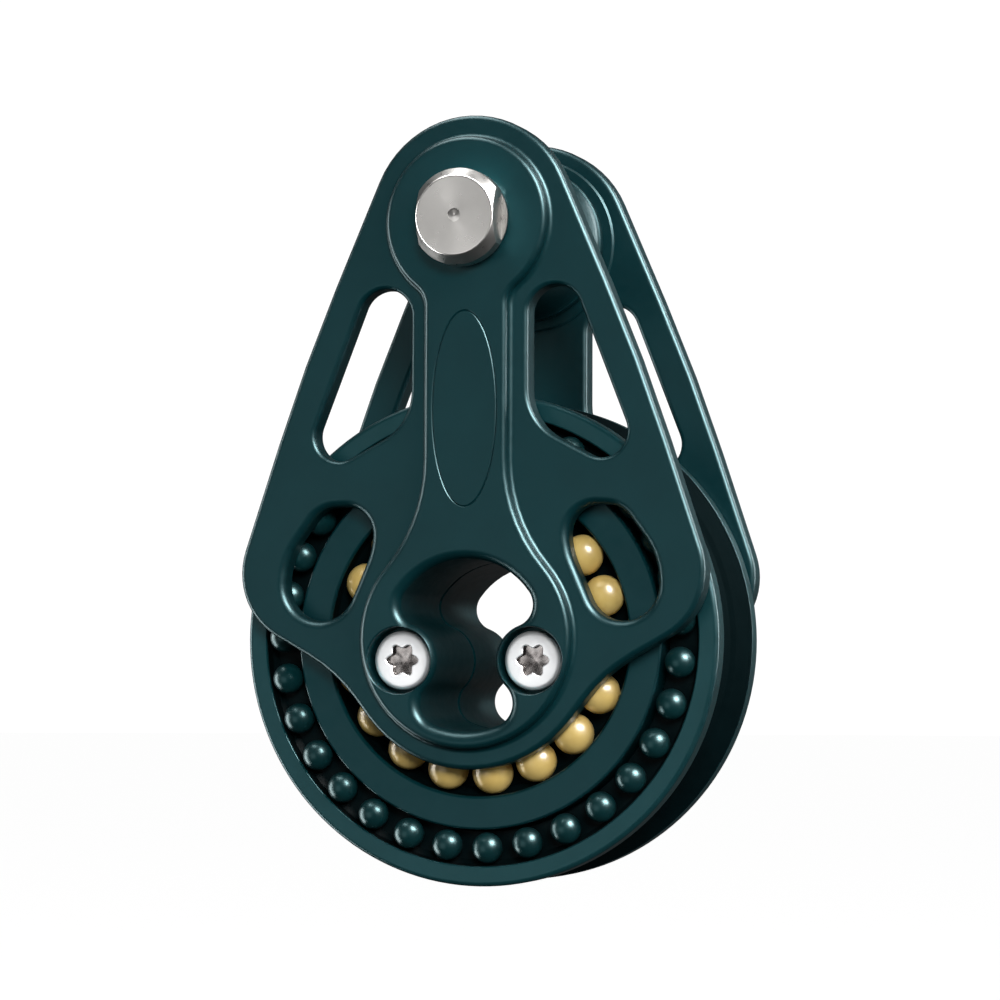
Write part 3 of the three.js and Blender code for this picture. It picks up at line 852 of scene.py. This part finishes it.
finish_piece(cheek("front_cheek_plate", True), "frame", "cheek", anodised, "front_cheek")
finish_piece(cheek("rear_cheek_plate", False), "frame", "cheek", anodised, "rear_cheek")
sheave = finish_piece(rope_sheave(), "sheave_body", "sheave", turned_alloy, "sheave")
# Paints shade in the rope groove.
paint_shade_inside(sheave, groove_shade_alloy, in_groove_shade)
for side, flipped in (("front", False), ("rear", True)):
    ring = race_ring(f"{side}_race", flipped)
    finish_piece(ring, "sheave_body", "race_ring", anodised, f"{side}_race_ring")
    # Paints shade on the ring's bore behind the balls.
    paint_shade_inside(ring, shade_black, in_race_shade)
    # Black sheets of painted shade in the channel and under the main balls.
    finish_piece(channel_shade_sheet(f"{side}_channel_shade_sheet", flipped), "sheave_body", "side_ball", shade_black)
    main_balls(side, flipped, MAIN_SEED + flipped, tan_plastic)
    side_balls(side, flipped, SIDE_SEED + flipped, acetal)
for name, x in (("left", -SCREW["x"]), ("right", SCREW["x"])):
    screw = finish_piece(hub_screw(f"{name}_hub_screw", x), "frame", "screw", bright_steel, f"{name}_screw")
    # Paints shade inside the socket.
    paint_shade_inside(screw, socket_shade_steel, in_socket_shade)
finish_piece(bush_spool(), "bush", "bush", anodised, "head_bush")
finish_piece(head_bolt_piece(), "frame", "bolt", turned_steel, "head_bolt")
finish_piece(hex_nut(), "frame", "nut", steel, "head_nut")

# Camera, at the photograph's angle

AZIMUTH, ELEVATION, ROLL = 17.452, -2.924, 0.196  # degrees
DISTANCE = 0.5504
AIM = (-0.00057, 0.02194)  # to the right and up in the camera's plane
LENS, SENSOR = 126.48, 36.0

sheave_centre = Vector((0, 0, -HEAD * MM))
a, e, r = (math.radians(v) for v in (AZIMUTH, ELEVATION, ROLL))
back = Vector((math.sin(a) * math.cos(e), -math.cos(a) * math.cos(e), math.sin(e)))
level = Vector((0, 0, 1)).cross(back).normalized()
plumb = back.cross(level)
right = math.cos(r) * level + math.sin(r) * plumb
up = math.cos(r) * plumb - math.sin(r) * level

camera = bpy.data.objects.new("camera", bpy.data.cameras.new("camera"))
camera.data.lens, camera.data.sensor_width = LENS, SENSOR
camera.data.clip_start, camera.data.clip_end = 0.05, 50
camera.matrix_world = Matrix((
    (right.x, up.x, back.x, 0), (right.y, up.y, back.y, 0), (right.z, up.z, back.z, 0), (0, 0, 0, 1),
))
camera.location = sheave_centre + back * DISTANCE + right * AIM[0] + up * AIM[1]
bpy.context.scene.collection.objects.link(camera)
bpy.context.scene.camera = camera

# Stage: a plain pale floor under the hanging block, and soft studio lights

FLOOR_DROP = 0.16  # below the block
FLOOR_HALF = 12.0
FLOOR_GLOW = 0.93
SKY_LIGHT, SKY_SEEN = 0.06, 1.05  # strength of the sky as a light, and as the backdrop


def floor():
    """A wide pale disc that glows a little, so that it stays even."""
    shell = Shell()
    rim = shell.ring(circle(FLOOR_HALF, count=96), 0, 0)
    shell.fill(rim)
    base = Matrix.Translation((0, 0, cad_low.z - FLOOR_DROP))
    piece = add("floor", shell.mesh("floor", placing=base))
    material = bpy.data.materials.new("pale_floor")
    material.use_nodes = True
    shader = material.node_tree.nodes["Principled BSDF"]
    shader.inputs["Base Color"].default_value = (0.9, 0.9, 0.9, 1)
    shader.inputs["Roughness"].default_value = 0.9
    shader.inputs["Specular IOR Level"].default_value = 0.0
    shader.inputs["Emission Color"].default_value = (1, 1, 1, 1)
    shader.inputs["Emission Strength"].default_value = FLOOR_GLOW
    piece.data.materials.append(material)
    piece.visible_diffuse = piece.visible_glossy = False


def softbox(name, direction, distance, size, power, mirrored=True, lit=True):
    """An area light that faces the block from a direction given as (right, up, towards the camera).
    One that isn't mirrored has no reflection in glossy surfaces, and one that isn't lit has only that."""
    lamp = bpy.data.lights.new(name, "AREA")
    lamp.shape, lamp.size, lamp.size_y, lamp.energy = "RECTANGLE", size[0], size[1], power
    aim = (right * direction[0] + up * direction[1] + back * direction[2]).normalized()
    light = bpy.data.objects.new(name, lamp)
    light.location = Vector((0, 0, -HEAD * MM / 2)) + aim * distance
    light.rotation_mode = "QUATERNION"
    light.rotation_quaternion = aim.to_track_quat("Z", "Y")
    light.visible_glossy, light.visible_diffuse = mirrored, lit
    bpy.context.scene.collection.objects.link(light)


floor()
softbox("main", (0.08, 0.32, 0.94), 1.3, (0.35, 0.35), 9.8, mirrored=False)
softbox("right_fill", (0.85, 0.25, 0.46), 1.2, (0.6, 0.6), 4, mirrored=False)
softbox("back_fill", (0.3, 0.4, -0.87), 1.3, (0.8, 0.8), 11, mirrored=False)
softbox("left_card", (-0.57, -0.1, 0.82), 1.2, (0.8, 0.8), 3.4, lit=False)
softbox("key", (0.56, 0.60, 0.57), 0.9, (0.45, 0.45), 66, lit=False)
softbox("left_rim", (-0.95, -0.25, -0.18), 0.9, (0.4, 1.1), 20, lit=False)
softbox("right_rim", (1.0, 0.35, -0.25), 0.9, (0.25, 0.8), 18, lit=False)
softbox("top", (-0.3, 1.0, 0.0), 0.9, (0.7, 0.5), 17, lit=False)

world = bpy.data.worlds.new("studio")
bpy.context.scene.world = world
world.use_nodes = True
sky, sky_links = world.node_tree.nodes, world.node_tree.links
dim, bright = sky["Background"], sky.new("ShaderNodeBackground")
dim.inputs["Color"].default_value = (1, 1, 1, 1)
dim.inputs["Strength"].default_value = SKY_LIGHT
bright.inputs["Color"].default_value = (1, 1, 1, 1)
bright.inputs["Strength"].default_value = SKY_SEEN
seen = sky.new("ShaderNodeLightPath")
choice = sky.new("ShaderNodeMixShader")
sky_links.new(seen.outputs["Is Camera Ray"], choice.inputs["Fac"])
sky_links.new(dim.outputs["Background"], choice.inputs[1])
sky_links.new(bright.outputs["Background"], choice.inputs[2])
sky_links.new(choice.outputs["Shader"], sky["World Output"].inputs["Surface"])
bpy.context.scene.view_settings.view_transform = "Standard"
